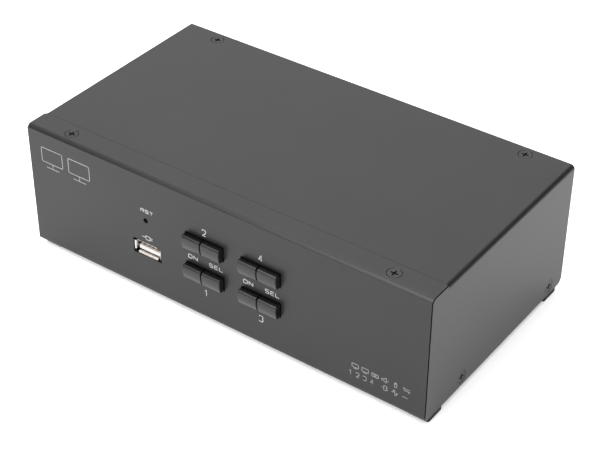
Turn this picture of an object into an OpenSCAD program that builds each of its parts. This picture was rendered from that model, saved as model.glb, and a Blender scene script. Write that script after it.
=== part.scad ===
// Four-port KVM switch for two screens, in a folded sheet-steel case.
// X runs along the front panel, Y runs from the front to the back, Z is up.
// The origin is under the middle of the case, at the feet's soles.

/* [Case] */
// Width of the case
case_w = 200; // [190:1:220]
// Depth of the case
case_d = 108; // [104:1:130]
// Height of the case without its feet
case_h = 59.5; // [58:0.5:65]
// Thickness of the sheet steel
sheet_t = 1.2; // [1:0.1:1.4]
// Depth of the strip of the front panel that folds back over the top
front_flange_d = 11.3; // [10:0.1:14]
// Outer bend radius along the top's long side edges
side_bend_r = 2; // [2:0.5:4]
// Outer bend radius along the front panel's top edge
front_bend_r = 2.4; // [2:0.1:3]
// Gap between the front strip and the top cover
seam_gap = 0.1; // [0.1:0.05:0.4]

/* [Feet] */
// Side of a square foot
foot_size = 10; // [8:0.5:12]
// Height of a foot
foot_h = 3; // [2:0.5:5]

/* [Keys] */
// Travel of a selection key
key_travel = 0.8; // [0.4:0.1:1.2]
// Travel of the reset plunger
reset_travel = 0.4; // [0.2:0.1:0.8]
// How far a key stands out of the front panel
key_proud = 3.2; // [2.8:0.1:4]
// Width of the window that holds a pair of keys
window_w = 19.7; // [18:0.1:21]
// Height of the window that holds a pair of keys
window_h = 7.3; // [6.5:0.1:8]
// Distance between the left and right pairs
window_pitch_x = 28.1; // [26:0.1:30]
// Distance between the lower and upper pairs
window_pitch_z = 14.8; // [13:0.1:16]

/* [Boards] */
// Height of the pillars under the main board
lower_standoff_h = 5; // [4:0.5:6]
// Height of the pillars between the two boards
upper_standoff_h = 25; // [24:0.5:26]

/* [Sockets] */
// Distance between neighbouring sockets on the back
socket_pitch = 16.5; // [16:0.1:17]
// Inner radius of an audio jack
audio_bore_r = 1.8; // [1.7:0.05:1.9]
// Depth of an audio jack, from the end of its collar
audio_depth = 14; // [12:0.5:15]

/* [Hidden] */
$fn = 48;
eps = 0.01;
fit_gap = 0.3;

// Case
half_w = case_w / 2;
front_y = -case_d / 2;
back_y = case_d / 2;
base_z = foot_h;
top_z = base_z + case_h;
paint_gap = 0.1;
tray_half_w = half_w - sheet_t - 0.25;
mitre_gap = 0.3;
mitre_depth = 1.6;
strip_half_w = half_w - mitre_gap;
tray_bend_r = 1.8;
inner_bend_r = tray_bend_r - sheet_t;
back_flange_d = 10;
flange_corner_r = 1.2;
under_top_z = top_z - sheet_t - paint_gap;
seam_y = front_y + front_flange_d + seam_gap;
side_flange_h = 9;
side_flange_end = 5;
cover_corner_r = 3;
notch_w = 0.3;
lip_half_w = half_w - sheet_t;

// Case screws: M3, countersunk
screw_r = 1.45;
screw_head_r = 2.8;
screw_len = 7;
screw_sunk = 0.1;
sink_r = 3.1;
nut_r = 2.45;
nut_h = 2.5;
top_screw_x = 79.7;
top_screw_front = 5.7;
top_screw_back = 4.9;
side_screw_z = 4.5;
side_screw_y = [front_y + 26.4, back_y - 11.2];

// Feet
foot_inset_x = 0.4;
foot_inset_y = 3.4;

// Front panel layout, measured from the panel's middle and the case's bottom
key_x0 = -5.85;
key_z0 = base_z + 22.35;
usb_x = -36.4;
usb_z = base_z + 21.8;
usb_window = [14.9, 7.4];
usb_recess = 0.1;
reset_z = base_z + 36.7;
reset_hole_r = 1.2;

// Keys
key_slit = 0.5;
key_side_gap = 0.35;
key_w = (window_w - 2 * key_side_gap - key_slit) / 2;
key_h = window_h - 2 * key_side_gap;
key_crown = 0.8;
key_crown_r = (pow(key_h / 2, 2) + pow(key_crown, 2)) / (2 * key_crown);
shoulder_y = front_y + sheet_t + fit_gap;
shoulder_t = 1;
stem_r = 1.75;
running_gap = 0.07;
switch_y = front_y + 6;
switch_size = 6.6;
front_board_y = front_y + 12.9;
front_usb_depth = front_board_y - front_y - usb_recess;
dome_t = 0.35;
switch_floor_t = 0.5;
dome_y = front_board_y - switch_floor_t - dome_t;
stem_end_y = dome_y - key_travel - 0.2;
shoulder_edge = 0.7;
lamp_size = [2, 1.2];
lamp_drop = 5;

// Reset plunger: a tip behind the pinhole, a flange and a stem in its switch
reset_tip_y = front_y + 1.8;
reset_tip = [0.9, 1];
reset_flange = [2.3, 0.8];
reset_stem_r = 1.5;
reset_stem_end_y = dome_y - reset_travel - 0.2;
PORTS = [1, 2, 3, 4];
SIDES = ["on", "sel"];

// Boards
board_t = 1.6;
lower_z = base_z + sheet_t + lower_standoff_h;
lower_top = lower_z + board_t;
upper_z = lower_top + upper_standoff_h;
upper_top = upper_z + board_t;
board_half_w = 90;
board_back_y = back_y - sheet_t - fit_gap;
lower_front_y = front_y + 18;
upper_front_y = front_y + 36;
pillar_x = 86;
low_pillar_y = -31;
stack_pillar_y = [-12, 30];
board_hole_r = 1.4;
board_screw_r = 1.25;
front_board_x = [-50, 42];
front_board_z = [base_z + 11, base_z + 44.5];
front_pillars = [for (x = [-46.5, 38.5], z = [base_z + 14.5, base_z + 41]) [x, z]];

// Sockets on the back: eleven columns in two rows
function column_x(i) = (i - 5) * socket_pitch;
socket_face_y = back_y + 0.6;
video_columns = [6, 7, 8, 9, 10];
usb_b_columns = [2, 3, 4, 5];
usb_a_column = 1;
audio_columns = [0, 2, 3, 4, 5];
dc_column = 0;
video_rise = 3.2;
video_depth = 11.5;
usb_a_size = [13.1, 5.9];
usb_a_rim = [14.4, 7];
usb_a_lip = [10.6, 4.2];
usb_a_block = 4.5;
usb_tongue = [11.1, 1.84];
usb_tongue_offset = 1.05;
usb_contact_t = 0.2;
usb_a_rise = 3.6;
usb_a_depth = 13.6;
usb_b_size = [12, 10.8];
usb_b_depth = 16;
usb_b_mouth = [8.5, 7.8];
usb_b_mouth_l = 10;
usb_b_core = [5.6, 3.2];
audio_rise = 5;
audio_collar_r = 3;
// The jacks' collars stand out as far as the keys do, which keeps the case centred on the origin
audio_collar_l = key_proud;
audio_nut_t = 1.8;
audio_nut_r = 4.6;
audio_body = [9, 13];
dc_rise = 6;
dc_collar_r = 4.2;
dc_bore_r = 3.05;
dc_bore_l = 9.5;
dc_body = [9.2, 14];
dc_pin_r = 1;
shell_t = 0.4;

// Parts on the boards
chip_at = [22, 4];
chip_size = 16;
chip_t = 1.6;
pad_t = 0.5;
sink_size = 28;
sink_base_t = 2;
sink_fins = 8;
sink_h = 10;
header_at = [-30, -8];
header_pitch = 2.54;
header_count = 12;
header_base_h = 2.5;
header_socket_h = 8.5;
header_pin = 0.64;
header_l = header_pitch * header_count + 0.5;
header_w = 2 * header_pitch;
hub_at = [-60, -14];
hub_size = [9, 1.2];
capacitor_at = [-78, 24];
capacitor_size = [3.15, 7.7];
inductor_at = [-76, 14];
inductor_size = [7, 4];
ribbon_x = -8;
ribbon_w = 14;
ribbon_t = 0.9;
ribbon_bend_r = 3;
ribbon_z = base_z + 24;
plug_size = 5;
ribbon_down_y = front_board_y + board_t + plug_size + 2 + ribbon_bend_r;

KEYS = [for (p = PORTS, s = SIDES) str("key_", s, "_", p)];
SWITCHES = [for (p = PORTS, s = SIDES) str("key_switch_", s, "_", p)];
FEET = ["foot_front_left", "foot_front_right", "foot_rear_left", "foot_rear_right"];

steel = "#4a4a4c";
black = "#1c1c1e";
nickel = "#c9c6c0";
board_green = "#1f5a3a";
gold = "#c9a24a";
ivory = "#e9e4da";

// ---------- shared shapes ----------

// A rectangle from corner a to corner b with its own radius at each corner, anticlockwise from a
module corner_rect(a, b, radii) {
    corners = [a, [b.x, a.y], b, [a.x, b.y]];
    difference() {
        translate(a) square(b - a);
        for (i = [0:3])
            if (radii[i] > 0)
                translate(corners[i]) rotate(90 * i) corner_waste(radii[i]);
    }
}

module corner_waste(r) {
    difference() {
        translate([-1, -1]) square(r + 1);
        translate([r, r]) circle(r);
    }
}

// Turns an outline drawn as (y, z) into a solid centred on x
module along_x(width, x = 0) {
    translate([x, 0, 0]) rotate([90, 0, 90]) linear_extrude(width, center = true) children();
}

// Turns an outline drawn as (x, z) into a solid from y0 to y1
module along_y(y0, y1) {
    translate([0, y1, 0]) rotate([90, 0, 0]) linear_extrude(y1 - y0) children();
}

// A box centred on x and z, from y0 to y1
module y_box(size, y0, y1) {
    translate([-size.x / 2, y0, -size.y / 2]) cube([size.x, y1 - y0, size.y]);
}

// A round bar along y
module y_bar(r, y0, y1) {
    translate([0, y1, 0]) rotate([90, 0, 0]) cylinder(h = y1 - y0, r = r);
}

module left_and_right() {
    for (s = [-1, 1]) scale([s, 1, 1]) children();
}

// ---------- case ----------

module tray_profile() {
    difference() {
        corner_rect([front_y, base_z], [back_y, under_top_z], [tray_bend_r, tray_bend_r, tray_bend_r, 0]);
        corner_rect([front_y + sheet_t, base_z + sheet_t], [back_y - sheet_t, under_top_z - sheet_t],
            [inner_bend_r, inner_bend_r, inner_bend_r, 0]);
        translate([front_y + sheet_t, under_top_z - sheet_t - eps])
            square([case_d - sheet_t - back_flange_d, 2 * sheet_t]);
    }
    difference() {
        corner_rect([front_y, top_z - case_h / 4], [front_y + front_flange_d, top_z], [0, 0, 0, front_bend_r]);
        corner_rect([front_y + sheet_t, base_z], [back_y, top_z - sheet_t],
            [0, 0, 0, front_bend_r - sheet_t]);
    }
}

module side_flange_profile() {
    x0 = tray_half_w - 3 * tray_bend_r;
    difference() {
        corner_rect([x0, base_z], [tray_half_w, base_z + side_flange_h], [0, tray_bend_r, 1.5, 0]);
        corner_rect([x0 - 1, base_z + sheet_t], [tray_half_w - sheet_t, top_z], [0, inner_bend_r, 0, 0]);
    }
}

// The part of the tray that reaches out to the mitres: the front, its top bend and the strip
module wide_front_profile() {
    intersection() {
        tray_profile();
        union() {
            translate([front_y - 1, base_z - 1]) square([sheet_t + 1, case_h - front_bend_r + 1]);
            translate([front_y - 1, top_z - front_bend_r]) square([front_flange_d + 2, front_bend_r + 1]);
        }
    }
}

// The space on one side of a 45 degree mitre along the front, its top bend and the strip.
// The mitre crosses the surface at end_x and leans in behind it; the space reaches to x = reach.
module mitre_space(end_x, reach) {
    slope = [[end_x + 1, -1], [end_x - mitre_depth, mitre_depth], [reach, mitre_depth], [reach, -1]];
    left_and_right() {
        translate([0, front_y, base_z - 1]) linear_extrude(case_h - front_bend_r + 1) polygon(slope);
        along_y(front_y + front_bend_r, seam_y) translate([0, top_z]) mirror([0, 1]) polygon(slope);
        translate([0, front_y + front_bend_r, top_z - front_bend_r]) rotate([0, 90, 0]) rotate(180)
            rotate_extrude(angle = 90) polygon([for (p = slope) [front_bend_r - p.y, p.x]]);
    }
}

module strip_corner_waste() {
    translate([strip_half_w, front_y + front_flange_d, top_z - 2 * sheet_t])
        linear_extrude(3 * sheet_t) rotate(180) corner_waste(flange_corner_r);
}

// The back panel's top corners follow the inside of the cover's bends
module back_corner_waste() {
    translate([tray_half_w, 0, under_top_z])
        along_y(seam_y, back_y + 1) rotate(180) corner_waste(side_bend_r - sheet_t - 0.2);
}

module front_cutouts() {
    through = [front_y - 1, front_y + 2 * sheet_t];
    for (column = [0, 1], row = [0, 1])
        translate([key_x0 + column * window_pitch_x, 0, key_z0 + row * window_pitch_z])
            y_box([window_w, window_h], through[0], through[1]);
    translate([usb_x, 0, usb_z]) y_box(usb_window, through[0], through[1]);
    translate([usb_x, 0, reset_z]) y_bar(reset_hole_r, through[0], through[1]);
}

module back_cutouts() {
    y0 = back_y - 2 * sheet_t;
    y1 = back_y + 1;
    for (board_top = [lower_top, upper_top]) {
        for (i = video_columns)
            translate([column_x(i), 0, board_top + video_rise])
                along_y(y0, y1) video_outline(shell_t + fit_gap);
        translate([column_x(usb_a_column), 0, board_top + usb_a_rise])
            y_box(usb_a_rim + [fit_gap, fit_gap], y0, y1);
    }
    for (i = usb_b_columns)
        translate([column_x(i), 0, lower_top + usb_b_size.y / 2])
            y_box(usb_b_size + 2 * [fit_gap, fit_gap], y0, y1);
    for (i = audio_columns)
        translate([column_x(i), 0, upper_top + audio_rise]) y_bar(audio_collar_r + 0.2, y0, y1);
    translate([column_x(dc_column), 0, lower_top + dc_rise]) y_bar(dc_collar_r + 0.2, y0, y1);
}

module base_tray() {
    color(steel) difference() {
        union() {
            difference() {
                along_x(2 * tray_half_w) tray_profile();
                left_and_right()
                    translate([tray_half_w - tray_bend_r, front_y + side_flange_end, base_z - 1])
                        cube([2 * tray_bend_r, case_d - 2 * side_flange_end, side_flange_h + 2]);
            }
            difference() {
                along_x(2 * strip_half_w) wide_front_profile();
                mitre_space(strip_half_w, case_w);
            }
            left_and_right()
                along_y(front_y + side_flange_end + 0.4, back_y - side_flange_end - 0.4)
                    side_flange_profile();
        }
        left_and_right() strip_corner_waste();
        left_and_right() back_corner_waste();
        front_cutouts();
        back_cutouts();
        case_screw_places() screw_sink();
    }
}

module side_plate_outline() {
    corner_rect([front_y, base_z], [back_y, top_z], [tray_bend_r, cover_corner_r, 0, 0]);
}

// The side plate's front end stands up to the top's level, beside the front strip
module side_plate_tab() {
    corner_rect([front_y, base_z], [seam_y - notch_w, top_z], [tray_bend_r, 0, 0, front_bend_r]);
    translate([front_y + tray_bend_r, base_z])
        square([seam_y + 2 - front_y - tray_bend_r, case_h - side_bend_r - 0.2]);
}

module cover_profile() {
    r = side_bend_r;
    difference() {
        corner_rect([-half_w, base_z], [half_w, top_z], [0, 0, r, r]);
        corner_rect([-half_w + sheet_t, base_z - 1], [half_w - sheet_t, top_z - sheet_t],
            [0, 0, r - sheet_t, r - sheet_t]);
    }
}

module cover_lip() {
    translate([-lip_half_w, front_y + 3, under_top_z - sheet_t])
        cube([2 * lip_half_w, seam_y + sheet_t - front_y - 3, sheet_t]);
    translate([-lip_half_w, seam_y, under_top_z - sheet_t])
        cube([2 * lip_half_w, sheet_t, 2 * sheet_t]);
}

module top_cover() {
    color(steel) difference() {
        union() {
            intersection() {
                along_y(seam_y, back_y) cover_profile();
                along_x(case_w + 2) side_plate_outline();
            }
            difference() {
                left_and_right() along_x(sheet_t, half_w - sheet_t / 2) side_plate_tab();
                mitre_space(half_w + mitre_gap, half_w - sheet_t - 1);
            }
            cover_lip();
        }
        case_screw_places() screw_sink();
    }
}

// Puts its children at all eight case screws, with the head's face at the origin and +Z outwards
module case_screw_places() {
    top_screw_places() children();
    side_screw_places() children();
}

module top_screw_places() {
    for (s = [-1, 1], y = [front_y + top_screw_front, back_y - top_screw_back])
        translate([s * top_screw_x, y, top_z]) children();
}

module side_screw_places() {
    for (s = [-1, 1], y = side_screw_y)
        translate([s * half_w, y, base_z + side_screw_z]) rotate([0, s * 90, 0]) children();
}

module screw_sink() {
    translate([0, 0, -sink_r + screw_r]) cylinder(h = sink_r - screw_r + eps, r1 = screw_r + 0.05, r2 = sink_r);
    translate([0, 0, -2 * screw_len]) cylinder(h = 2 * screw_len, r = screw_r + 0.05);
}

module case_screw() {
    cone_bottom = -screw_sunk - (screw_head_r - screw_r);
    difference() {
        union() {
            translate([0, 0, cone_bottom])
                cylinder(h = screw_head_r - screw_r, r1 = screw_r, r2 = screw_head_r);
            translate([0, 0, -screw_len]) cylinder(h = screw_len + cone_bottom + eps, r = screw_r);
        }
        cross_recess(3.3, 0.75, 1);
    }
}

module cross_recess(size, slot, depth) {
    for (turn = [0, 90])
        rotate(turn) translate([-size / 2, -slot / 2, -screw_sunk - depth]) cube([size, slot, depth + 1]);
    translate([0, 0, -screw_sunk - depth]) cylinder(h = depth + 1, r1 = 0.3, r2 = 1.15);
}

module top_screws() {
    color(black) top_screw_places() case_screw();
}

module side_screws() {
    color(black) side_screw_places() case_screw();
}

module clinch_nut(depth) {
    translate([0, 0, -depth - nut_h]) difference() {
        cylinder(h = nut_h, r = nut_r);
        translate([0, 0, -1]) cylinder(h = nut_h + 2, r = screw_r + 0.05);
    }
}

module clinch_nuts() {
    color(nickel) {
        top_screw_places() clinch_nut(2 * sheet_t + paint_gap);
        side_screw_places() clinch_nut(half_w - tray_half_w + sheet_t);
    }
}

module foot(name) {
    sx = name == FEET[0] || name == FEET[2] ? -1 : 1;
    sy = name == FEET[0] || name == FEET[1] ? -1 : 1;
    size = foot_size;
    at = [sx * (half_w - foot_inset_x - size / 2), sy * (case_d / 2 - foot_inset_y - size / 2)];
    color(black) translate(at)
        linear_extrude(foot_h) corner_rect([-size / 2, -size / 2], [size / 2, size / 2], [1, 1, 1, 1]);
}

// ---------- front controls ----------

// The pairs stand in two columns: ports 1 and 2 on the left, 3 and 4 on the right
function key_at(port, side) = [
    key_x0 + (port > 2 ? window_pitch_x : 0) + side_sign(side) * (key_w + key_slit) / 2,
    key_z0 + (port % 2 == 0 ? window_pitch_z : 0)
];
function side_sign(side) = side == "on" ? -1 : 1;

module key_outline() {
    intersection() {
        translate([front_y - key_proud, -key_h / 2])
            square([shoulder_y + eps - front_y + key_proud, key_h]);
        translate([front_y - key_proud + key_crown_r, 0]) circle(key_crown_r, $fn = 96);
    }
}

module key(port, side) {
    at = key_at(port, side);
    shoulder_h = window_h + 2 * shoulder_edge;
    shoulder_w = key_w + key_side_gap + shoulder_edge;
    color(black) translate([at.x, 0, at.y]) {
        along_x(key_w) key_outline();
        translate([side_sign(side) * (shoulder_w - key_w) / 2, 0, 0])
            y_box([shoulder_w, shoulder_h], shoulder_y, shoulder_y + shoulder_t);
        y_bar(stem_r, shoulder_y + shoulder_t - eps, stem_end_y);
    }
}

module key_switch(port, side) {
    at = key_at(port, side);
    color(black) translate([at.x, 0, at.y]) difference() {
        y_box([switch_size, switch_size], switch_y, front_board_y);
        y_bar(stem_r + running_gap, switch_y - 1, dome_y + dome_t);
    }
}

module snap_domes() {
    color(nickel) for (p = PORTS, s = SIDES)
        translate([key_at(p, s).x, 0, key_at(p, s).y]) y_bar(stem_r, dome_y, dome_y + dome_t);
}

module key_lamps() {
    color(ivory) for (p = PORTS, s = SIDES)
        translate([key_at(p, s).x, 0, key_at(p, s).y - lamp_drop])
            y_box(lamp_size, front_board_y - 1, front_board_y);
}

module reset_plunger() {
    flange_y = reset_tip_y + reset_tip[1];
    color(black) translate([usb_x, 0, reset_z]) {
        y_bar(reset_tip[0], reset_tip_y, flange_y + eps);
        y_bar(reset_flange[0], flange_y, flange_y + reset_flange[1]);
        y_bar(reset_stem_r, flange_y + reset_flange[1] - eps, reset_stem_end_y);
    }
}

module reset_switch() {
    color(black) translate([usb_x, 0, reset_z]) difference() {
        y_box([switch_size, switch_size], switch_y, front_board_y);
        y_bar(reset_stem_r + running_gap, switch_y - 1, dome_y + dome_t);
    }
}

module front_board() {
    z0 = front_board_z[0];
    color(board_green) difference() {
        translate([front_board_x[0], front_board_y, z0])
            cube([front_board_x[1] - front_board_x[0], board_t, front_board_z[1] - z0]);
        for (p = front_pillars)
            translate([p.x, 0, p.y]) y_bar(board_hole_r, front_board_y - 1, front_board_y + 2 * board_t);
    }
}

module front_standoffs() {
    color(nickel) for (p = front_pillars)
        translate([p.x, 0, p.y]) difference() {
            y_bar(2.4, front_y + sheet_t, front_board_y);
            y_bar(board_screw_r + 0.05, front_y + sheet_t + 3, front_board_y + 1);
        }
}

// ---------- USB type A sockets ----------

// Mouth at y = 0, body towards -Y. Four lips flare out at the mouth, and its corners stay open.
module usb_a_shell(depth) {
    inner = usb_a_size - 2 * [shell_t, shell_t];
    difference() {
        union() {
            y_box(usb_a_size, -depth, 0);
            y_box([usb_a_rim.x, usb_a_lip.y], -shell_t, 0);
            y_box([usb_a_lip.x, usb_a_rim.y], -shell_t, 0);
        }
        y_box(inner, -depth + shell_t, 1);
    }
}

// The tongue stands on a block at the socket's back. side is 1 in the upper half, -1 in the lower.
module usb_a_tongue(depth, side) {
    inner = usb_a_size - 2 * [shell_t, shell_t];
    block_y = -depth + shell_t;
    y_box(inner - [0.1, 0.1], block_y, block_y + usb_a_block);
    translate([0, 0, side * usb_tongue_offset]) y_box(usb_tongue, block_y + usb_a_block - eps, -1.3);
}

// Four strips on the tongue's wide side, the one that faces the middle of the mouth
module usb_a_contacts(depth, side) {
    face = usb_tongue_offset - (usb_tongue.y + usb_contact_t) / 2;
    for (x = [-3.5, -1, 1, 3.5])
        translate([x, 0, side * face]) y_box([1, usb_contact_t], -depth + shell_t + usb_a_block, -2);
}

module at_front_usb() {
    translate([usb_x, front_y + usb_recess, usb_z]) rotate([0, 0, 180]) children();
}

module front_usb_shell() {
    color(nickel) at_front_usb() usb_a_shell(front_usb_depth);
}

module front_usb_tongue() {
    color(ivory) at_front_usb() usb_a_tongue(front_usb_depth, -1);
}

module front_usb_contacts() {
    color(gold) at_front_usb() usb_a_contacts(front_usb_depth, -1);
}

module at_rear_usb() {
    for (board_top = [lower_top, upper_top])
        translate([column_x(usb_a_column), socket_face_y - 0.4, board_top + usb_a_rise]) children();
}

module rear_usb_shells() {
    color(nickel) at_rear_usb() {
        usb_a_shell(usb_a_depth);
        left_and_right()
            translate([usb_a_size.x / 2 - shell_t, -usb_a_depth + 3, -usb_a_rise])
                cube([shell_t, 2.5, usb_a_rise]);
    }
}

module rear_usb_tongues() {
    color(ivory) at_rear_usb() usb_a_tongue(usb_a_depth, 1);
}

// ---------- other sockets on the back ----------

// Outline of a video socket, grown outwards by the given amount
module video_outline(grow) {
    w = 7 + grow;
    h = 2.3 + grow;
    slope = 0.4 * grow;
    polygon([[-w, h], [w, h], [w, -0.6 - slope], [5.3 + slope, -h], [-5.3 - slope, -h], [-w, -0.6 - slope]]);
}

module at_video_sockets() {
    for (board_top = [lower_top, upper_top], i = video_columns)
        translate([column_x(i), socket_face_y, board_top + video_rise]) children();
}

module video_shells() {
    color(nickel) at_video_sockets() {
        difference() {
            along_y(-video_depth, 0) video_outline(shell_t);
            along_y(-video_depth + shell_t, 1) video_outline(0);
        }
        left_and_right()
            translate([7, -video_depth + 2, -video_rise]) cube([shell_t, 2, video_rise]);
    }
}

module video_tongues() {
    color(black) at_video_sockets() {
        along_y(-video_depth + shell_t, -video_depth + 3) video_outline(-0.1);
        y_box([11, 0.9], -video_depth + 3 - eps, -1.2);
    }
}

module at_usb_b_sockets() {
    for (i = usb_b_columns)
        translate([column_x(i), socket_face_y, lower_top + usb_b_size.y / 2]) children();
}

module usb_b_shells() {
    color(nickel) at_usb_b_sockets() difference() {
        y_box(usb_b_size, -usb_b_depth, 0);
        y_box(usb_b_size - 2 * [shell_t, shell_t], -usb_b_depth + shell_t, 1);
    }
}

module usb_b_cores() {
    block = usb_b_size - 2 * [shell_t + 0.05, shell_t + 0.05];
    w = usb_b_mouth.x / 2;
    h = usb_b_mouth.y / 2;
    cut = 1.7;
    color(ivory) at_usb_b_sockets() {
        difference() {
            y_box(block, -usb_b_depth + shell_t, -0.3);
            along_y(-usb_b_mouth_l, 1)
                polygon([[-w, -h], [w, -h], [w, h - cut], [w - cut, h], [cut - w, h], [-w, h - cut]]);
        }
        y_box(usb_b_core, -usb_b_mouth_l - eps, -1.5);
    }
}

module at_audio_jacks() {
    for (i = audio_columns)
        translate([column_x(i), back_y, upper_top + audio_rise]) children();
}

module audio_jacks() {
    body_front = -sheet_t - fit_gap;
    color(black) at_audio_jacks() difference() {
        union() {
            y_box([audio_body[0], 2 * audio_rise], -audio_body[1], body_front);
            y_bar(audio_collar_r, body_front - eps, audio_collar_l);
        }
        y_bar(audio_bore_r, audio_collar_l - audio_depth, audio_collar_l + 1);
    }
}

module audio_nuts() {
    color(nickel) at_audio_jacks() difference() {
        translate([0, audio_nut_t + 0.05, 0]) rotate([90, 0, 0])
            cylinder(h = audio_nut_t, r = audio_nut_r, $fn = 6);
        y_bar(audio_collar_r + 0.05, -1, audio_nut_t + 1);
    }
}

module at_dc_jack() {
    translate([column_x(dc_column), back_y, lower_top + dc_rise]) children();
}

module dc_jack() {
    color(black) at_dc_jack() difference() {
        union() {
            y_box([dc_body[0], 2 * dc_rise], -dc_body[1], -sheet_t - fit_gap);
            y_bar(dc_collar_r, -sheet_t - fit_gap - eps, 0.6);
        }
        y_bar(dc_bore_r, -dc_bore_l, 2);
    }
}

module dc_jack_pin() {
    color(nickel) at_dc_jack() y_bar(dc_pin_r, -dc_bore_l, -sheet_t);
}

// ---------- boards and what is on them ----------

module stack_places() {
    for (s = [-1, 1], y = stack_pillar_y) translate([s * pillar_x, y, 0]) children();
}

module low_places() {
    for (s = [-1, 1]) translate([s * pillar_x, low_pillar_y, 0]) children();
}

module main_board() {
    color(board_green) difference() {
        translate([-board_half_w, lower_front_y, lower_z])
            cube([2 * board_half_w, board_back_y - lower_front_y, board_t]);
        translate([0, 0, lower_z - 1]) {
            stack_places() cylinder(h = 2 * board_t, r = board_hole_r);
            low_places() cylinder(h = 2 * board_t, r = board_hole_r);
        }
    }
}

module upper_board() {
    color(board_green) difference() {
        translate([-board_half_w, upper_front_y, upper_z])
            cube([2 * board_half_w, board_back_y - upper_front_y, board_t]);
        translate([0, 0, upper_z - 1]) stack_places() cylinder(h = 2 * board_t, r = board_hole_r);
    }
}

module hex_pillar(height) {
    cylinder(h = height, r = 3.2, $fn = 6);
}

module lower_standoffs() {
    color(nickel) translate([0, 0, base_z + sheet_t]) {
        stack_places() lower_standoff();
        low_places() lower_standoff();
    }
}

module lower_standoff() {
    difference() {
        hex_pillar(lower_standoff_h);
        translate([0, 0, -1]) cylinder(h = lower_standoff_h + 2, r = board_screw_r + 0.05);
    }
}

module upper_standoffs() {
    color(nickel) translate([0, 0, lower_top]) stack_places() {
        difference() {
            hex_pillar(upper_standoff_h);
            translate([0, 0, upper_standoff_h - 8]) cylinder(h = 9, r = board_screw_r + 0.05);
        }
        translate([0, 0, -board_t - 4]) cylinder(h = board_t + 4 + eps, r = board_screw_r);
    }
}

// Head's underside at z = 0, shank towards -Z
module pan_screw(shank) {
    difference() {
        cylinder(h = 1.6, r = 2.4);
        translate([0, 0, 1.8]) cross_recess(2.6, 0.6, 1);
    }
    translate([0, 0, -shank]) cylinder(h = shank + eps, r = board_screw_r);
}

module board_screws() {
    color(nickel) {
        translate([0, 0, lower_top]) low_places() pan_screw(board_t + 4);
        translate([0, 0, upper_top]) stack_places() pan_screw(board_t + 5);
        for (p = front_pillars)
            translate([p.x, front_board_y + board_t, p.y]) rotate([-90, 0, 0]) pan_screw(board_t + 5);
    }
}

module header_base() {
    color(black) translate([header_at.x - header_l / 2, header_at.y - header_w / 2, lower_top])
        cube([header_l, header_w, header_base_h]);
}

module header_socket() {
    color(black)
        translate([header_at.x - header_l / 2, header_at.y - header_w / 2, upper_z - header_socket_h])
            cube([header_l, header_w, header_socket_h]);
}

module header_pins() {
    pin = header_pin;
    z0 = lower_top + header_base_h;
    color(gold) for (i = [0:header_count - 1], row = [-0.5, 0.5])
        translate([
            header_at.x + (i - (header_count - 1) / 2) * header_pitch - pin / 2,
            header_at.y + row * header_pitch - pin / 2,
            z0
        ]) cube([pin, pin, upper_z - header_socket_h - z0]);
}

module ribbon_cable() {
    plug_back = front_board_y + board_t + plug_size;
    r = ribbon_bend_r;
    t = ribbon_t;
    z_end = lower_top + plug_size;
    color("#8f9296") along_x(ribbon_w, ribbon_x) {
        translate([plug_back, ribbon_z - t / 2]) square([ribbon_down_y - r - plug_back + eps, t]);
        translate([ribbon_down_y - r, ribbon_z - r]) intersection() {
            difference() {
                circle(r + t / 2);
                circle(r - t / 2);
            }
            square(2 * r);
        }
        translate([ribbon_down_y - t / 2, z_end]) square([t, ribbon_z - r - z_end + eps]);
    }
}

module ribbon_plugs() {
    w = ribbon_w + 2;
    color(ivory) {
        translate([ribbon_x, 0, ribbon_z])
            y_box([w, plug_size], front_board_y + board_t, front_board_y + board_t + plug_size);
        translate([ribbon_x - w / 2, ribbon_down_y - plug_size / 2, lower_top])
            cube([w, plug_size, plug_size]);
    }
}

// Puts its children on both boards where the video chips sit
module at_chips(rise) {
    for (board_top = [lower_top, upper_top])
        translate([chip_at.x, chip_at.y, board_top + rise]) children();
}

module tile(size, thick) {
    translate([-size / 2, -size / 2, 0]) cube([size, size, thick]);
}

module video_chips() {
    color(black) at_chips(0) tile(chip_size, chip_t);
}

module thermal_pads() {
    color("#b9c7d6") at_chips(chip_t) tile(chip_size - 1, pad_t);
}

module heatsinks() {
    fin_t = 1.2;
    gap = (sink_size - fin_t) / (sink_fins - 1);
    color("#9aa0a6") at_chips(chip_t + pad_t) {
        tile(sink_size, sink_base_t);
        for (i = [0:sink_fins - 1])
            translate([-sink_size / 2 + i * gap, -sink_size / 2, sink_base_t - eps])
                cube([fin_t, sink_size, sink_h - sink_base_t]);
    }
}

module hub_chip() {
    color(black) translate([hub_at.x, hub_at.y, lower_top]) tile(hub_size[0], hub_size[1]);
}

module capacitors() {
    color("#8a8f98") for (i = [0:3])
        translate([capacitor_at.x + 8 * i, capacitor_at.y, lower_top])
            cylinder(h = capacitor_size[1], r = capacitor_size[0]);
}

module inductors() {
    color("#3a3d42") for (i = [0:2])
        translate([inductor_at.x + 9 * i, inductor_at.y, lower_top])
            tile(inductor_size[0], inductor_size[1]);
}

// ---------- nodes ----------

base_tray();
top_cover();
top_screws();
side_screws();
clinch_nuts();
for (name = FEET)
    foot(name);
front_board();
front_standoffs();
front_usb_shell();
front_usb_tongue();
front_usb_contacts();
reset_switch();
reset_plunger();
for (p = PORTS, s = SIDES)
    key_switch(p, s);
snap_domes();
key_lamps();
for (p = PORTS, s = SIDES)
    key(p, s);
main_board();
lower_standoffs();
board_screws();
upper_board();
upper_standoffs();
header_base();
header_pins();
header_socket();
ribbon_cable();
ribbon_plugs();
video_chips();
thermal_pads();
heatsinks();
hub_chip();
capacitors();
inductors();
dc_jack();
dc_jack_pin();
video_shells();
video_tongues();
usb_b_shells();
usb_b_cores();
rear_usb_shells();
rear_usb_tongues();
audio_jacks();
audio_nuts();
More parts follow.
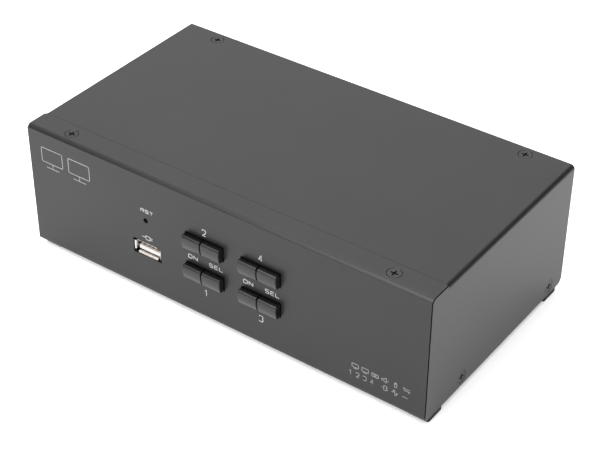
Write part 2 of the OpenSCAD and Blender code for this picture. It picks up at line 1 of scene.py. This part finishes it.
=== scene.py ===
"""The looks of the four-port KVM switch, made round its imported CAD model. Lengths are in metres."""

import math

import bmesh
import bpy
from mathutils import Matrix, Vector


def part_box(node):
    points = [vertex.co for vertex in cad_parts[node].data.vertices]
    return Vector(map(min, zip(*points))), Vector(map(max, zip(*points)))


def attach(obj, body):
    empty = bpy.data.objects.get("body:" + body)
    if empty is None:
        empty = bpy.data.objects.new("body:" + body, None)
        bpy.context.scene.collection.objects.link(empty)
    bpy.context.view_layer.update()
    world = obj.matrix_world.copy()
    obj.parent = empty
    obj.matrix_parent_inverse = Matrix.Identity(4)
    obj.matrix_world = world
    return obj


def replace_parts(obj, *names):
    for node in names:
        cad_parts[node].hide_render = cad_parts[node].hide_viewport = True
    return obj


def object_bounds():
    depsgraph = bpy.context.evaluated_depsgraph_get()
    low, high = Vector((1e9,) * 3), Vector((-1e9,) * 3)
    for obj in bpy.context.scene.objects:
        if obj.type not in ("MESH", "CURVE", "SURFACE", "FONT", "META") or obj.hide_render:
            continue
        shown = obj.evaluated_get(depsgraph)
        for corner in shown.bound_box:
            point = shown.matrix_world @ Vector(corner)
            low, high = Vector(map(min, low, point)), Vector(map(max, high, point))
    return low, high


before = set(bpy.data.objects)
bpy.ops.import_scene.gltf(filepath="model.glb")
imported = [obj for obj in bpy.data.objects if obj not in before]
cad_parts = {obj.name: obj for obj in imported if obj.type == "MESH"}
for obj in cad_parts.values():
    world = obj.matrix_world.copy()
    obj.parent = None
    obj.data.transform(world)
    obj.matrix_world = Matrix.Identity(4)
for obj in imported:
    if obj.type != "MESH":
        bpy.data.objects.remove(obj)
cad_low, cad_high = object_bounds()

MM = 0.001
CASE = "case"                      # the body that everything fixed rides on
scene = bpy.context.scene

# ---------------------------------------------------------------- camera

CAMERA_AZIMUTH = math.radians(35.70)      # to the right of the front
CAMERA_ELEVATION = math.radians(36.12)
CAMERA_ROLL = math.radians(0.27)
CAMERA_DISTANCE = 0.6722
CAMERA_LENS = 95.55
AIM_OFFSET = Vector((4.19, -2.71, -6.37)) * MM     # from the middle of the CAD box


def direction(azimuth, elevation):
    """The unit vector that points azimuth right of the front and elevation above the floor."""
    flat = math.cos(elevation)
    return Vector((math.sin(azimuth) * flat, -math.cos(azimuth) * flat, math.sin(elevation)))


def make_camera():
    camera = bpy.data.objects.new("camera", bpy.data.cameras.new("camera"))
    scene.collection.objects.link(camera)
    back = direction(CAMERA_AZIMUTH, CAMERA_ELEVATION)
    aim = (cad_low + cad_high) / 2 + AIM_OFFSET
    turn = (-back).to_track_quat("-Z", "Y").to_matrix() @ Matrix.Rotation(CAMERA_ROLL, 3, "Z")
    camera.matrix_world = Matrix.Translation(aim + back * CAMERA_DISTANCE) @ turn.to_4x4()
    camera.data.lens = CAMERA_LENS
    camera.data.clip_start = 0.01
    scene.camera = camera


make_camera()

# ---------------------------------------------------------------- materials


def add(tree, kind, inputs=(), **settings):
    """A new shader node. inputs maps a socket's name or number to its value or source socket."""
    node = tree.nodes.new("ShaderNode" + kind)
    for name, value in settings.items():
        setattr(node, name, value)
    for key, value in dict(inputs).items():
        if isinstance(value, bpy.types.NodeSocket):
            tree.links.new(value, node.inputs[key])
        else:
            node.inputs[key].default_value = value
    return node


def noise(tree, place, scale, detail=3.0, roughness=0.5):
    values = {"Vector": place, "Scale": scale, "Detail": detail, "Roughness": roughness}
    return add(tree, "TexNoise", values).outputs["Fac"]


NOISE_LOW, NOISE_HIGH = 0.3, 0.7   # where nearly all of a noise's values lie


def spread(tree, value, low, high):
    """A noise's value, spread over low to high."""
    values = {"Value": value, "From Min": NOISE_LOW, "From Max": NOISE_HIGH,
              "To Min": low, "To Max": high}
    return add(tree, "MapRange", values).outputs["Result"]


def blend_colour(tree, factor, first, second):
    mix = add(tree, "Mix", {0: factor, 6: (*first, 1), 7: (*second, 1)}, data_type="RGBA")
    return mix.outputs[2]


def material(name, colours, roughness, grain, bump, patch=40, metallic=0.0, **constants):
    """A material with slow patches between two colours, and a fine grain that drives its roughness
    and bump. grain is the grain's size in metres, bump its height, and patch the number of patches
    in a metre. constants are set on the shader's own sockets."""
    made = bpy.data.materials.new(name)
    made.use_nodes = True
    tree = made.node_tree
    surface = tree.nodes["Principled BSDF"]
    place = add(tree, "TexCoord").outputs["Object"]
    fine = noise(tree, place, 1 / grain)
    slow = noise(tree, place, patch, 2)
    colour = blend_colour(tree, spread(tree, slow, 0, 1), *colours)
    tree.links.new(colour, surface.inputs["Base Color"])
    tree.links.new(spread(tree, fine, *roughness), surface.inputs["Roughness"])
    relief = add(tree, "Bump", {"Height": fine, "Strength": 1.0, "Distance": bump})
    tree.links.new(relief.outputs["Normal"], surface.inputs["Normal"])
    surface.inputs["Metallic"].default_value = metallic
    for socket, value in constants.items():
        surface.inputs[socket.replace("_", " ")].default_value = value
    made.diffuse_color = (*colours[0], 1)
    return made


def grey(value, warmth=0.0):
    """A grey that is that share redder and less blue."""
    return (value * (1 + warmth), value, value * (1 - warmth))


MATERIALS = {
    "case_paint": material("powder_coat", (grey(0.012), grey(0.014)), (0.30, 0.40),
                           0.22 * MM, 0.004 * MM, IOR=1.38),
    "key_plastic": material("key_plastic", (grey(0.006), grey(0.008)), (0.22, 0.30),
                            0.12 * MM, 0.002 * MM, IOR=1.44),
    "white_ink": material("white_ink", (grey(0.5), grey(0.56)), (0.4, 0.55),
                          0.1 * MM, 0.002 * MM, patch=400),
    "grey_ink": material("grey_ink", (grey(0.27), grey(0.31)), (0.4, 0.55),
                         0.1 * MM, 0.002 * MM, patch=400),
    "black_screw": material("black_screw", (grey(0.035), grey(0.05)), (0.34, 0.5),
                            0.2 * MM, 0.003 * MM, metallic=0.8),
    "rubber": material("rubber", (grey(0.006), grey(0.010)), (0.6, 0.85), 0.15 * MM, 0.01 * MM,
                       Specular_IOR_Level=0.25),
    "nickel": material("nickel", (grey(0.5, 0.06), grey(0.58, 0.06)), (0.2, 0.38),
                       0.3 * MM, 0.002 * MM, metallic=1.0),
    "zinc": material("zinc", (grey(0.55, -0.02), grey(0.65, -0.01)), (0.3, 0.5),
                     0.3 * MM, 0.003 * MM, metallic=1.0),
    "gold": material("gold", ((0.6, 0.49, 0.32), (0.68, 0.55, 0.36)), (0.2, 0.35),
                     0.2 * MM, 0.001 * MM, metallic=1.0),
    "white_plastic": material("white_plastic", (grey(0.5, 0.03), grey(0.56, 0.03)), (0.35, 0.5),
                              0.1 * MM, 0.002 * MM),
    "black_plastic": material("black_plastic", (grey(0.014), grey(0.02)), (0.35, 0.55),
                              0.1 * MM, 0.003 * MM),
    "circuit_board": material("circuit_board", ((0.01, 0.06, 0.03), (0.015, 0.09, 0.04)),
                              (0.25, 0.4), 0.5 * MM, 0.01 * MM, patch=600),
    "aluminium": material("aluminium", (grey(0.55), grey(0.62)), (0.3, 0.5),
                          0.3 * MM, 0.003 * MM, metallic=1.0),
    "thermal_pad": material("thermal_pad", ((0.15, 0.3, 0.42), (0.2, 0.36, 0.48)), (0.6, 0.8),
                            0.3 * MM, 0.01 * MM),
    "ribbon": material("ribbon", (grey(0.3), grey(0.4)), (0.4, 0.5), 0.5 * MM, 0.01 * MM),
    "lamp": material("lamp", ((0.7, 0.72, 0.7), (0.8, 0.82, 0.8)), (0.1, 0.2),
                     0.3 * MM, 0.002 * MM),
}

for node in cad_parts.values():
    for held in node.material_slots:
        held.material = MATERIALS[held.material.name]

# ---------------------------------------------------------------- the finish of the CAD nodes


WELD_REACH = 0.002 * MM
FLAT_ANGLE = math.radians(0.3)     # faces that differ by less are one flat face
SHARP_ANGLE = math.radians(35)     # edges that turn by more are rounded
FLAT_WEIGHT = 80                   # how far large faces decide the shading of their edges


def soften(names, width, segments=2):
    """Rounds the sharp edges of CAD nodes by width, and shades their flat faces flat."""
    for name in names:
        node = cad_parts[name]
        weld = node.modifiers.new("weld", "WELD")
        weld.merge_threshold = WELD_REACH
        flat = node.modifiers.new("flat", "DECIMATE")
        flat.decimate_type = "DISSOLVE"
        flat.angle_limit = FLAT_ANGLE
        edge = node.modifiers.new("edge", "BEVEL")
        edge.width, edge.segments = width, segments
        edge.limit_method = "ANGLE"
        edge.angle_limit = SHARP_ANGLE
        shade = node.modifiers.new("shade", "WEIGHTED_NORMAL")
        shade.weight = FLAT_WEIGHT


soften(["base_tray", "top_cover"], 0.06 * MM)
soften(["foot_front_left", "foot_front_right", "foot_rear_left", "foot_rear_right"], 0.5 * MM, 3)
soften(["top_screws", "side_screws", "board_screws"], 0.05 * MM)
soften(["front_usb_tongue", "rear_usb_tongues", "video_tongues", "usb_b_cores", "dc_jack",
        "audio_jacks"], 0.12 * MM)
soften(["video_shells", "usb_b_shells", "rear_usb_shells", "audio_nuts"], 0.06 * MM)

# ---------------------------------------------------------------- mesh building


PIECE_SHARP_ANGLE = math.radians(40)


def piece(name, mesh, slot, body, bevel=0.0, finish=None):
    """An object from a bmesh that rides on a body, in the material that MATERIALS holds under slot or
    in another finish. bevel is the rounding of its sharp edges."""
    data = bpy.data.meshes.new(name)
    bmesh.ops.recalc_face_normals(mesh, faces=mesh.faces)
    mesh.to_mesh(data)
    mesh.free()
    data.materials.append(MATERIALS[finish or slot])
    data.shade_smooth()
    made = bpy.data.objects.new(name, data)
    scene.collection.objects.link(made)
    if bevel:
        edge = made.modifiers.new("edge", "BEVEL")
        edge.width, edge.segments = bevel, 2
        edge.limit_method = "ANGLE"
        edge.angle_limit = PIECE_SHARP_ANGLE
    shade = made.modifiers.new("shade", "WEIGHTED_NORMAL")
    shade.weight = FLAT_WEIGHT
    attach(made, body)
    return made


def skin(mesh, rings):
    """Adds a closed skin over rings of points, with the first and last ring as its ends."""
    made = [[mesh.verts.new(p) for p in ring] for ring in rings]
    for one, two in zip(made, made[1:]):
        for i in range(len(one)):
            j = (i + 1) % len(one)
            mesh.faces.new((one[i], one[j], two[j], two[i]))
    mesh.faces.new(made[0][::-1])
    mesh.faces.new(made[-1])


def block(mesh, low, high):
    """Adds a box between two corners."""
    square = [(low[0], low[1]), (high[0], low[1]), (high[0], high[1]), (low[0], high[1])]
    skin(mesh, [[(x, y, z) for x, y in square] for z in (low[2], high[2])])


def arc(centre, radius, start, end, steps):
    """Points along an arc, with its angles in degrees."""
    angles = [math.radians(start + (end - start) * k / steps) for k in range(steps + 1)]
    return [(centre[0] + radius * math.cos(a), centre[1] + radius * math.sin(a)) for a in angles]


# ---------------------------------------------------------------- keys

CAP_TOP_EDGE = 1.05 * MM           # rounding of a cap's upper front edge
CAP_LOW_EDGE = 0.75 * MM           # rounding of its lower front edge
CAP_END = 0.3 * MM                 # rounding of its ends
CROWN = 0.52 * MM                  # how far its face falls back over half its height
CROWN_PEAK = 1.0 * MM              # how far above the middle the face stands out most
CAP_SIDE_GAP = 1.05 * MM           # from the shoulder's outer end to the cap's
CAP_FOOT_GAP = 1.05 * MM           # from the shoulder's lower edge to the cap's
SHOULDER_DEPTH = (4.7 * MM, 5.7 * MM)     # behind the cap's nose
STEM_R = 1.75 * MM
STEM_SIDES = 24
TURN_SHARE = 0.65                  # of a long edge's radius, what lies past its start on the crown
FACE_STEPS, LONG_EDGE_STEPS, END_STEPS = 14, 5, 4


def cap_edge(nose, half, radius, upward):
    """The height where a rounded long edge meets the crown, and the edge's arc from there to the
    cap's side, as (y, z) points."""
    turn_z = upward * (half - radius * TURN_SHARE)
    fall = (turn_z - CROWN_PEAK) / half
    tilt = math.atan2(2 * CROWN * abs(fall), half)
    centre_y = nose + CROWN * fall ** 2 + radius * math.cos(tilt)
    points = arc((centre_y, half - radius), radius, 180 - math.degrees(tilt), 90, LONG_EDGE_STEPS)
    return turn_z, [(y, z * upward) for y, z in points]


def cap_outline(nose, half, root, inset):
    """A cap's outline across its length as (y, z) points, drawn in by inset."""
    half, nose = half - inset, nose + inset
    low_z, lower = cap_edge(nose, half, CAP_LOW_EDGE, -1)
    top_z, upper = cap_edge(nose, half, CAP_TOP_EDGE, 1)
    heights = [low_z + (top_z - low_z) * k / FACE_STEPS for k in range(1, FACE_STEPS)]
    face = [(nose + CROWN * ((z - CROWN_PEAK) / half) ** 2, z) for z in heights]
    return [(root, -half)] + lower[::-1] + face + upper + [(root, half)]


def key_cap(name):
    """A key with a crowned, rounded cap, its shoulder behind the panel and its round stem."""
    low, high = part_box(name)
    outer = 1 if "sel" in name else -1                 # the end away from the slit
    ends = [low.x, high.x - CAP_SIDE_GAP] if outer > 0 else [low.x + CAP_SIDE_GAP, high.x]
    middle_z = (low.z + high.z) / 2
    half = (high.z - low.z) / 2 - CAP_FOOT_GAP
    shoulder = [low.y + d for d in SHOULDER_DEPTH]
    turns = [math.radians(90 * k / END_STEPS) for k in range(END_STEPS + 1)]
    steps = [(CAP_END * (1 - math.cos(t)), CAP_END * (1 - math.sin(t))) for t in turns]
    stations = [(ends[0] + along, inset) for along, inset in steps]
    stations += [(ends[1] - along, inset) for along, inset in steps[::-1]]
    mesh = bmesh.new()
    skin(mesh, [[(x, y, middle_z + z) for y, z in cap_outline(low.y, half, shoulder[0], inset)]
                for x, inset in stations])
    block(mesh, (low.x, shoulder[0], low.z), (high.x, shoulder[1], high.z))
    last_turn = 360 - 360 / STEM_SIDES
    stem = arc(((ends[0] + ends[1]) / 2, middle_z), STEM_R, 0, last_turn, STEM_SIDES - 1)
    skin(mesh, [[(x, y, z) for x, z in stem] for y in (shoulder[1], high.y)])
    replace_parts(piece("cap_" + name[4:], mesh, "key_plastic", name), name)


for port in (1, 2, 3, 4):
    for side in ("on", "sel"):
        key_cap("key_%s_%d" % (side, port))

# ---------------------------------------------------------------- front USB socket

SHELL_T = 0.4 * MM
LIP_ROOM = 0.6 * MM                # how far the lips' middles stand out of the tube's
LIP_PATH = [(2.2, 0), (1.2, 0), (0.85, 0.05), (0.6, 0.16), (0.4, 0.34), (0.28, 0.56), (0.22, 0.8),
            (0.2, 1)]              # mm behind the mouth, and the share of LIP_ROOM outwards
LIP_ZONE = 3 * MM                  # the depth that the lips lie in, narrower than the tube's walls
WALL_GAP = 0.25 * MM               # how much shorter than half its side each wall of the tube is


def usb_socket(name, node, lip_w, lip_h):
    """A folded socket shell: four walls that form a tube, each with a curled lip at the mouth."""
    low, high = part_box(node)
    middle_x, middle_z = (low.x + high.x) / 2, (low.z + high.z) / 2
    half_w, half_h = (high.x - low.x) / 2 - LIP_ROOM, (high.z - low.z) / 2 - LIP_ROOM
    mesh = bmesh.new()
    for turned in (False, True):                       # top and bottom, then the two sides
        wall, reach, length = (half_w, half_h, lip_h) if turned else (half_h, half_w, lip_w)
        path = [(d * MM, wall - SHELL_T / 2 + out * LIP_ROOM) for d, out in LIP_PATH]
        path.insert(0, (high.y - low.y, wall - SHELL_T / 2))
        for sign in (-1, 1):
            rings = []
            for i, (depth, out) in enumerate(path):
                before, after = path[max(i - 1, 0)], path[min(i + 1, len(path) - 1)]
                run = Vector((after[0] - before[0], after[1] - before[1])).normalized()
                side = Vector((run.y, -run.x)) * SHELL_T / 2
                room = length / 2 if depth < LIP_ZONE else reach - WALL_GAP
                ring = []
                for along, flip in ((-room, 1), (room, 1), (room, -1), (-room, -1)):
                    d, o = depth + side.x * flip, (out + side.y * flip) * sign
                    across, up = (o, along) if turned else (along, o)
                    ring.append((middle_x + across, low.y + d, middle_z + up))
                rings.append(ring)
            skin(mesh, rings)
    made = piece(name, mesh, "nickel", CASE, 0.07 * MM)
    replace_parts(made, node)


usb_socket("usb_shell", "front_usb_shell", 10.4 * MM, 4.3 * MM)

# ---------------------------------------------------------------- print

INK_T = 0.03 * MM                  # how far the ink reaches to each side of the panel's face
SHARP_CORNER = math.radians(60)    # corners sharper than this are rounded less
SHARP_SHARE = 0.15
MITRE_LIMIT = 0.6

# Each glyph is a list of lines in a unit square: their points, and whether the line is closed.
GLYPHS = {
    "O": [([(0, 0), (1, 0), (1, 1), (0, 1)], True)],
    "N": [([(0, 0), (0, 1), (1, 0), (1, 1)], False)],
    "S": [([(1, 1), (0, 1), (0, .5), (1, .5), (1, 0), (0, 0)], False)],
    "E": [([(1, 1), (0, 1), (0, 0), (1, 0)], False), ([(0, .5), (.9, .5)], False)],
    "L": [([(0, 1), (0, 0), (1, 0)], False)],
    "R": [([(0, 0), (0, 1), (1, 1), (1, .42), (0, .42)], False), ([(.5, .42), (1, 0)], False)],
    "T": [([(0, 1), (1, 1)], False), ([(.5, 1), (.5, 0)], False)],
    "1": [([(.1, .76), (.55, 1), (.55, 0)], False)],
    "2": [([(0, .78), (0, 1), (1, 1), (1, .5), (0, 0), (1, 0)], False)],
    "3": [([(0, .85), (0, 1), (1, 1), (1, .53), (.25, .53)], False),
          ([(.25, .53), (1, .53), (1, 0), (0, 0), (0, .15)], False)],
    "4": [([(.72, 0), (.72, 1), (0, .27), (1, .27)], False)],
    "screen": [([(0, .25), (1, .25), (1, 1), (0, 1)], True), ([(.5, .25), (.5, 0)], False),
               ([(.2, 0), (.8, 0)], False)],
    "keyboard": [([(0, .15), (1, .15), (1, .85), (0, .85)], True), ([(.2, .62), (.8, .62)], False),
                 ([(.3, .38), (.7, .38)], False)],
    "mouse": [([(.2, 0), (.8, 0), (.8, 1), (.2, 1)], True), ([(.5, .62), (.5, 1)], False)],
    "speaker": [([(0, .32), (.3, .32), (.7, 0), (.7, 1), (.3, .68), (0, .68)], True),
                ([(.95, .3), (.95, .7)], False)],
    "plug": [([(0, .5), (.36, .5)], False), ([(.36, 0), (.36, 1), (.76, 1), (.76, 0)], True),
             ([(.76, .25), (1, .25)], False), ([(.76, .75), (1, .75)], False)],
    "dash": [([(.1, .5), (.9, .5)], False)],
    "swap": [([(.2, .95), (0, .7), (1, .7)], False), ([(.8, .05), (1, .3), (0, .3)], False)],
    "wave": [([(0, .5), (.25, .5), (.25, 1), (.5, 1), (.5, 0), (.75, 0), (.75, .5), (1, .5)],
              False)],
}


def rounded(points, reach, closed):
    """The same line with its corners rounded, as far as reach to both sides of each."""
    corners = [Vector(p) for p in points]
    line = []
    for i, corner in enumerate(corners):
        if not closed and i in (0, len(corners) - 1):
            line.append(corner)
            continue
        before, after = corners[i - 1] - corner, corners[(i + 1) % len(corners)] - corner
        share = SHARP_SHARE if before.angle(after) < SHARP_CORNER else 1
        cut = min(reach * share, before.length * 0.5, after.length * 0.5)
        start, end = corner + before.normalized() * cut, corner + after.normalized() * cut
        for t in (0, 0.25, 0.5, 0.75, 1):
            line.append(start * (1 - t) ** 2 + corner * 2 * t * (1 - t) + end * t ** 2)
    return line


def ribbon(mesh, line, width, closed, place):
    """Adds a flat bar along a line. place turns (across, up, out) into a point on the case."""
    count = len(line)
    sides = []
    for i, point in enumerate(line):
        before = line[i - 1] if closed or i else point
        after = line[(i + 1) % count] if closed or i < count - 1 else point
        runs = [v.normalized() for v in (point - before, after - point) if v.length > 1e-9]
        run = sum(runs, Vector((0, 0))).normalized()
        stretch = 1 / max(run.dot(runs[0]), MITRE_LIMIT)
        out = Vector((-run.y, run.x)) * width / 2 * stretch
        sides.append((point + out, point - out))
    rings = [[place(a.x, a.y, -INK_T), place(a.x, a.y, INK_T),
              place(b.x, b.y, INK_T), place(b.x, b.y, -INK_T)] for a, b in sides]
    made = [[mesh.verts.new(p) for p in ring] for ring in rings]
    for i in range(count if closed else count - 1):
        one, two = made[i], made[(i + 1) % count]
        for j in range(4):
            k = (j + 1) % 4
            mesh.faces.new((one[j], one[k], two[k], two[j]))
    if not closed:
        mesh.faces.new(made[0][::-1])
        mesh.faces.new(made[-1])


def label(mesh, place, glyphs, middle, size, width, gap=0, softness=0.3):
    """Adds a row of glyphs round a middle point. size is one glyph's width and height, width its
    lines', gap the room between two glyphs, and softness the share of the height over which corners
    are rounded."""
    full = len(glyphs) * size[0] + (len(glyphs) - 1) * gap
    for i, glyph in enumerate(glyphs):
        left = middle[0] - full / 2 + i * (size[0] + gap)
        for points, closed in GLYPHS[glyph]:
            line = [(left + x * size[0], middle[1] + (y - 0.5) * size[1]) for x, y in points]
            ribbon(mesh, rounded(line, softness * size[1], closed), width, closed, place)


front_y, back_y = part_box("base_tray")[0].y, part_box("base_tray")[1].y
key_low, key_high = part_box("key_on_1")
slit_x = key_high.x + 0.25 * MM                    # the middle of the left pairs
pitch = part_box("key_on_3")[0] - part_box("key_on_1")[0]
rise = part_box("key_on_2")[0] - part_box("key_on_1")[0]
lower_z = (key_low.z + key_high.z) / 2             # the middles of the two rows of keys
upper_z = lower_z + rise.z
usb_low, usb_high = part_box("front_usb_shell")
usb_x, usb_z = (usb_low.x + usb_high.x) / 2, (usb_low.z + usb_high.z) / 2
hole_low, hole_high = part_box("reset_plunger")
hole_z = (hole_low.z + hole_high.z) / 2


def on_front(across, up, out):
    return (across, front_y - out, up)


def on_back(across, up, out):
    return (-across, back_y + out, up)


DIGIT, WORD_ON, WORD_SEL = (1.75 * MM, 2.9 * MM), (1.9 * MM, 1.75 * MM), (1.7 * MM, 1.75 * MM)
DIGIT_DROP, DIGIT_RISE = 8.8 * MM, 6.7 * MM        # from the middle of the lower and upper keys
WORD_DROP = 0.75 * MM                              # from halfway between the two rows of keys
ON_LEFT, SEL_RIGHT = 6.25 * MM, 5.6 * MM           # from the slit between the keys


def print_front():
    """The keys' and the pinhole's labels, and the pictogram over the socket."""
    mesh = bmesh.new()
    words_z = (lower_z + upper_z) / 2 - WORD_DROP
    for column, x in enumerate((slit_x + 0.1 * MM, slit_x + pitch.x)):
        digits = zip("1234"[2 * column:], (lower_z - DIGIT_DROP, upper_z + DIGIT_RISE))
        for digit, z in digits:
            label(mesh, on_front, digit, (x, z), DIGIT, 0.32 * MM)
        label(mesh, on_front, "ON", (x - ON_LEFT, words_z), WORD_ON, 0.34 * MM, 0.8 * MM)
        label(mesh, on_front, "SEL", (x + SEL_RIGHT, words_z), WORD_SEL, 0.3 * MM, 0.8 * MM, 0.2)
    label(mesh, on_front, "RST", (usb_x + 0.9 * MM, hole_z + 4.85 * MM), (1.75 * MM, 1.4 * MM),
          0.25 * MM, 0.65 * MM)
    label(mesh, on_front, ["plug"], (usb_x + 0.3 * MM, usb_z + 6.3 * MM), (5.6 * MM, 1.8 * MM),
          0.26 * MM, softness=0.2)
    piece("front_print", mesh, "white_plastic", CASE, finish="white_ink")


ICON, SMALL_ICON, SMALL_DIGIT = (3.0 * MM, 2.3 * MM), (1.7 * MM, 2.3 * MM), (1.4 * MM, 2.2 * MM)
ICON_GAP = 1.6 * MM
ICON_LINE = 0.25 * MM
UPPER_ICONS, LOWER_ICONS = 14.9 * MM, 11 * MM      # the heights of the two rows


def print_pictograms():
    """Generic pictograms where such a case names its maker and its type."""
    mesh = bmesh.new()
    label(mesh, on_front, ["screen"] * 2, (-79.4 * MM, 49.4 * MM), (11.6 * MM, 9.4 * MM),
          0.32 * MM, 3.4 * MM, 0.08)
    for glyphs, x, z, size, gap, softness in (
            (["screen", "screen", "keyboard", "speaker"], 74.5 * MM, UPPER_ICONS, ICON, ICON_GAP,
             0.1),
            (["mouse"], 86.2 * MM, UPPER_ICONS, SMALL_ICON, 0, 0.35),
            (["swap"], 91.2 * MM, UPPER_ICONS, ICON, 0, 0.1),
            ("1234", 70.5 * MM, LOWER_ICONS, SMALL_DIGIT, 1.9 * MM, 0.3),
            (["plug", "wave", "dash"], 86 * MM, LOWER_ICONS, ICON, ICON_GAP, 0.1)):
        label(mesh, on_front, glyphs, (x, z), size, ICON_LINE, gap, softness)
    piece("pictogram_print", mesh, "white_plastic", CASE, finish="grey_ink")


BACK_PITCH = 16.5 * MM
BACK_ROWS = (27 * MM, 52.5 * MM)                   # the heights of the lower and the upper print
BACK_DIGIT, BACK_ICON = (1.8 * MM, 2.8 * MM), (3.6 * MM, 2.8 * MM)
BACK_PORTS = [(digit, digit) for digit in "4321"]
BACK_COLUMNS = [("wave", "speaker"), ("mouse", "keyboard"), *BACK_PORTS,
                ("screen", "screen"), *BACK_PORTS]


def print_back():
    """What stands over the back's two rows of sockets, column by column."""
    mesh = bmesh.new()
    for i, glyphs in enumerate(BACK_COLUMNS):
        across = (len(BACK_COLUMNS) // 2 - i) * BACK_PITCH
        for glyph, z in zip(glyphs, BACK_ROWS):
            size = BACK_DIGIT if glyph.isdigit() else BACK_ICON
            label(mesh, on_back, [glyph], (across, z), size, 0.3 * MM, softness=0.15)
    piece("back_print", mesh, "white_plastic", CASE, finish="white_ink")


print_front()
print_pictograms()
print_back()

# ---------------------------------------------------------------- studio

FLOOR_HALF = 3.0


def make_floor():
    """A pale floor that glows a little, so that it comes out white."""
    mesh = bpy.data.meshes.new("floor")
    corners = [(x * FLOOR_HALF, y * FLOOR_HALF, 0) for x, y in ((-1, -1), (1, -1), (1, 1), (-1, 1))]
    mesh.from_pydata(corners, [], [(0, 1, 2, 3)])
    floor = bpy.data.objects.new("floor", mesh)
    scene.collection.objects.link(floor)
    mesh.materials.append(material("floor_paper", (grey(0.86), grey(0.88)), (0.7, 0.8),
                                   2 * MM, 0.02 * MM, patch=2,
                                   Emission_Color=(1, 1, 1, 1), Emission_Strength=0.4))


def softbox(name, azimuth, elevation, distance, width, height, power):
    """A soft lamp that faces the object, from azimuth degrees to the right of the front. Its power
    is in watts."""
    lamp = bpy.data.lights.new(name, "AREA")
    lamp.shape = "RECTANGLE"
    lamp.size, lamp.size_y = width, height
    lamp.energy = power
    box = bpy.data.objects.new(name, lamp)
    scene.collection.objects.link(box)
    out = direction(math.radians(azimuth), math.radians(elevation))
    turn = (-out).to_track_quat("-Z", "Y").to_matrix().to_4x4()
    box.matrix_world = Matrix.Translation(out * distance) @ turn


make_floor()
softbox("back_softbox", azimuth=-144, elevation=40, distance=1.6, width=1.5, height=1.3, power=9.3)
softbox("overhead_softbox", azimuth=0, elevation=89, distance=2.0, width=3.0, height=3.0, power=72)
softbox("front_softbox", azimuth=-14, elevation=44, distance=0.8, width=0.4, height=0.8, power=5.8)

world = bpy.data.worlds.new("studio")
scene.world = world
world.use_nodes = True
background = world.node_tree.nodes["Background"]
background.inputs["Color"].default_value = (1, 1, 1, 1)
background.inputs["Strength"].default_value = 0.12
scene.view_settings.view_transform = "Standard"
